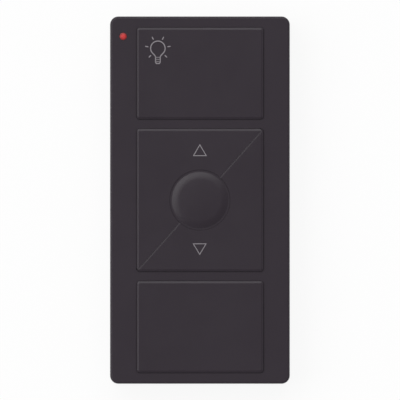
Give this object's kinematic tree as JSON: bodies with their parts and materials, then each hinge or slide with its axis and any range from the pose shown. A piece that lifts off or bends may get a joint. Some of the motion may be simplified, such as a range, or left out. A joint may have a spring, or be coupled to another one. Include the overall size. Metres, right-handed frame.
{
  "type": "wireless dimmer remote",
  "caption": "Slim hand-held wireless dimmer remote in dark plastic, with wide on and off keys, diagonally split raise and lower keys round a crowned button, and a sliding battery door.",
  "frame": {"origin": "middle of the rear face, on the plane that the remote lies on", "axes": "+Z out of the button face, +Y towards the end with the indicator, +X to the right of someone who looks at the face"},
  "size_m": [0.0322, 0.066, 0.0079],
  "materials": {
    "charcoal_plastic": "fine moulded texture",
    "red_lens": "clear red",
    "board_laminate": "solder mask",
    "spacer_film": "clear film",
    "dome_steel": "sprung sheet",
    "lamp_resin": "clear resin",
    "chip_resin": "moulded epoxy",
    "crystal_can": "plated lid",
    "capacitor_ceramic": "fired ceramic",
    "track_copper": "tinned copper",
    "cell_steel": "nickel plate",
    "contact_steel": "plated spring strip"
  },
  "bodies": {
    "case": {"front_housing": "charcoal_plastic", "rear_housing": "charcoal_plastic", "on_dome": "dome_steel", "raise_dome": "dome_steel", "favourite_dome": "dome_steel", "lower_dome": "dome_steel", "off_dome": "dome_steel", "dome_spacer": "spacer_film", "circuit_board": "board_laminate", "indicator_lens": "red_lens", "indicator_lamp": "lamp_resin", "controller_chip": "chip_resin", "radio_chip": "chip_resin", "crystal": "crystal_can", "chip_capacitors": "capacitor_ceramic", "antenna_loop": "track_copper", "coin_cell": "cell_steel", "positive_contact": "contact_steel", "negative_contact": "contact_steel"},
    "on_button": {"on_button": "charcoal_plastic"},
    "raise_button": {"raise_button": "charcoal_plastic"},
    "favourite_button": {"favourite_button": "charcoal_plastic"},
    "lower_button": {"lower_button": "charcoal_plastic"},
    "off_button": {"off_button": "charcoal_plastic"},
    "battery_door": {"battery_door": "charcoal_plastic"}
  },
  "joints": [
    {"name": "on_press", "type": "slide", "parent": "case", "child": "on_button", "axis": [0, 0, -1], "range_m": [0, 0.0003], "stiffness_N_per_m": 3000, "deforming": ["on_dome"]},
    {"name": "raise_press", "type": "slide", "parent": "case", "child": "raise_button", "axis": [0, 0, -1], "range_m": [0, 0.0003], "stiffness_N_per_m": 3000, "deforming": ["raise_dome"]},
    {"name": "favourite_press", "type": "slide", "parent": "case", "child": "favourite_button", "axis": [0, 0, -1], "range_m": [0, 0.0003], "stiffness_N_per_m": 3000, "deforming": ["favourite_dome"]},
    {"name": "lower_press", "type": "slide", "parent": "case", "child": "lower_button", "axis": [0, 0, -1], "range_m": [0, 0.0003], "stiffness_N_per_m": 3000, "deforming": ["lower_dome"]},
    {"name": "off_press", "type": "slide", "parent": "case", "child": "off_button", "axis": [0, 0, -1], "range_m": [0, 0.0003], "stiffness_N_per_m": 3000, "deforming": ["off_dome"]},
    {"name": "door_slide", "type": "slide", "parent": "case", "child": "battery_door", "axis": [0, -1, 0], "range_m": [0, 0.03]}
  ]
}
